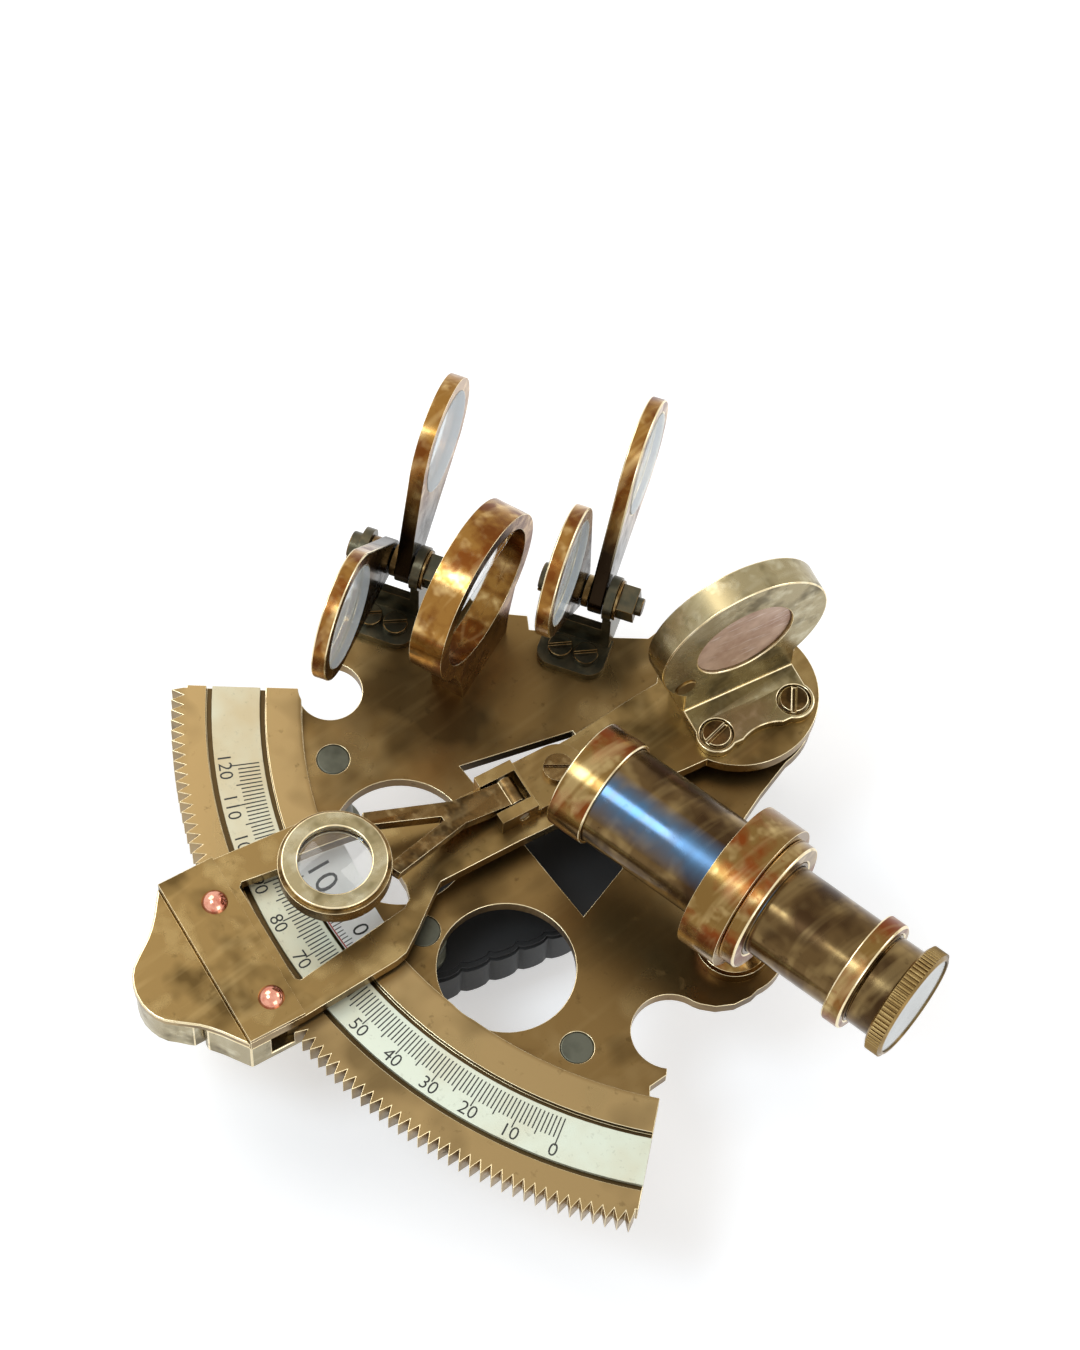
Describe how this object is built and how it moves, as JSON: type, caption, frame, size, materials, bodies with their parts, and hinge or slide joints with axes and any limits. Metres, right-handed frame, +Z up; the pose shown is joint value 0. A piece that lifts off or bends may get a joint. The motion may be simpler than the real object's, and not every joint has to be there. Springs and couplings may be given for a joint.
{
  "type": "pocket sextant",
  "caption": "Pocket sextant: toothed brass limb with a silvered scale, index arm with magnifier and sprung rack clamp, mirrors, hinged shades and a draw telescope, on legs with a black grip",
  "frame": {"origin": "on the index arm axis, in the plane that the three legs stand on", "axes": "+Z up, the toothed limb towards -Y, the telescope to the +X side"},
  "size_m": [0.11, 0.1074, 0.0598],
  "materials": {
    "brass_plate": "aged matt brass, olive brown",
    "brass_rim": "aged brass, worn bright on edges",
    "brass_bright": "polished lacquered brass",
    "brass_tube": "bronzed brass with a copper tint",
    "scale_silver": "silvered face, engraved",
    "blackened_brass": "chemically blackened",
    "dark_disc": "dull grey green",
    "steel": "plain",
    "copper_rivet": "coppery, polished dome",
    "grip_black": "black, low gloss",
    "vernier_white": "white, engraved",
    "lens_glass": "clear",
    "shade_glass": "pale blue",
    "mirror_glass": "silvered behind",
    "mirror_paint": "pinkish protective paint"
  },
  "bodies": {
    "frame": {"frame_plate": "brass_plate", "scale_arc": "scale_silver", "limb_legs": "dark_disc", "apex_leg": "brass_plate", "handle_grip": "grip_black", "handle_posts": "dark_disc", "handle_screws": "brass_rim", "arbor_bearing": "brass_bright", "thrust_washer": "brass_bright", "scope_mount": "brass_bright", "scope_mount_screw": "brass_rim", "main_tube": "brass_tube", "objective_collar": "brass_bright", "objective_lens": "lens_glass", "step_collar": "brass_bright", "horizon_frame": "brass_rim", "horizon_clear_glass": "lens_glass", "horizon_mirror_glass": "mirror_glass", "horizon_screws": "brass_rim", "shade_brackets": "blackened_brass", "shade_bolts": "blackened_brass", "shade_nuts": "blackened_brass", "shade_washers": "steel", "shade_screws": "blackened_brass"},
    "index_arm": {"index_arm": "brass_rim", "arbor": "brass_bright", "arbor_washer": "steel", "arbor_nut": "steel", "vernier_plate": "vernier_white", "clamp_cover": "brass_rim", "clamp_body": "brass_rim", "tail_plate": "brass_rim", "clamp_rivets": "copper_rivet", "pawl_spring": "steel", "magnifier_screw": "blackened_brass", "index_mirror_frame": "brass_rim", "index_mirror_glass": "mirror_glass", "index_mirror_backing": "mirror_paint", "index_mirror_screws": "brass_rim", "index_mirror_rivet": "brass_rim"},
    "rack_pawl": {"rack_pawl": "brass_rim"},
    "magnifier_bracket": {"magnifier_bracket": "brass_rim", "magnifier_pin": "steel"},
    "magnifier": {"magnifier_arm": "brass_rim", "magnifier_lens": "lens_glass", "magnifier_retainer": "brass_bright"},
    "draw_tube": {"draw_tube": "brass_tube", "draw_ring": "brass_bright"},
    "eyepiece": {"eyepiece_barrel": "brass_tube", "eyepiece_cap": "brass_bright", "eye_lens": "lens_glass"},
    "shade_1_front": {"shade_1_front_ring": "brass_bright", "shade_1_front_glass": "shade_glass"},
    "shade_1_back": {"shade_1_back_ring": "brass_bright", "shade_1_back_glass": "shade_glass"},
    "shade_2_front": {"shade_2_front_ring": "brass_bright", "shade_2_front_glass": "shade_glass"},
    "shade_2_back": {"shade_2_back_ring": "brass_bright", "shade_2_back_glass": "shade_glass"}
  },
  "joints": [
    {"name": "index_arm_turn", "type": "hinge", "parent": "frame", "child": "index_arm", "pos_m": [0, 0, 0.022], "axis": [0, 0, 1], "range_deg": [-21.4, 38.32]},
    {"name": "pawl_slide", "type": "slide", "parent": "index_arm", "child": "rack_pawl", "axis": [0.1514, 0.9885, 0], "range_m": [0, 0.0019], "stiffness_N_per_m": 150, "springref_m": 0.0019},
    {"name": "magnifier_swing", "type": "hinge", "parent": "index_arm", "child": "magnifier_bracket", "pos_m": [-0.00549, -0.02789, 0.0265], "axis": [0, 0, 1], "range_deg": [-2, 20]},
    {"name": "magnifier_tilt", "type": "hinge", "parent": "magnifier_bracket", "child": "magnifier", "pos_m": [-0.00664, -0.0354, 0.0281], "axis": [0.9885, -0.1514, 0], "range_deg": [-25, 6]},
    {"name": "draw_tube_slide", "type": "slide", "parent": "frame", "child": "draw_tube", "axis": [0.9736, 0.2284, 0], "range_m": [-0.011, 0.006]},
    {"name": "eyepiece_focus", "type": "hinge", "parent": "draw_tube", "child": "eyepiece", "pos_m": [0.05038, -0.01878, 0.0414], "axis": [0.9736, 0.2284, 0], "continuous": true},
    {"name": "shade_1_front_turn", "type": "hinge", "parent": "frame", "child": "shade_1_front", "pos_m": [-0.04441, -0.0275, 0.033], "axis": [0.8572, 0.515, 0], "range_deg": [-147, 3]},
    {"name": "shade_1_back_turn", "type": "hinge", "parent": "frame", "child": "shade_1_back", "pos_m": [-0.04158, -0.0258, 0.033], "axis": [0.8572, 0.515, 0], "range_deg": [-52, 98]},
    {"name": "shade_2_front_turn", "type": "hinge", "parent": "frame", "child": "shade_2_front", "pos_m": [-0.02409, -0.00952, 0.033], "axis": [0.848, 0.5299, 0], "range_deg": [-114, 36]},
    {"name": "shade_2_back_turn", "type": "hinge", "parent": "frame", "child": "shade_2_back", "pos_m": [-0.0213, -0.00777, 0.033], "axis": [0.848, 0.5299, 0], "range_deg": [-33, 117]}
  ]
}
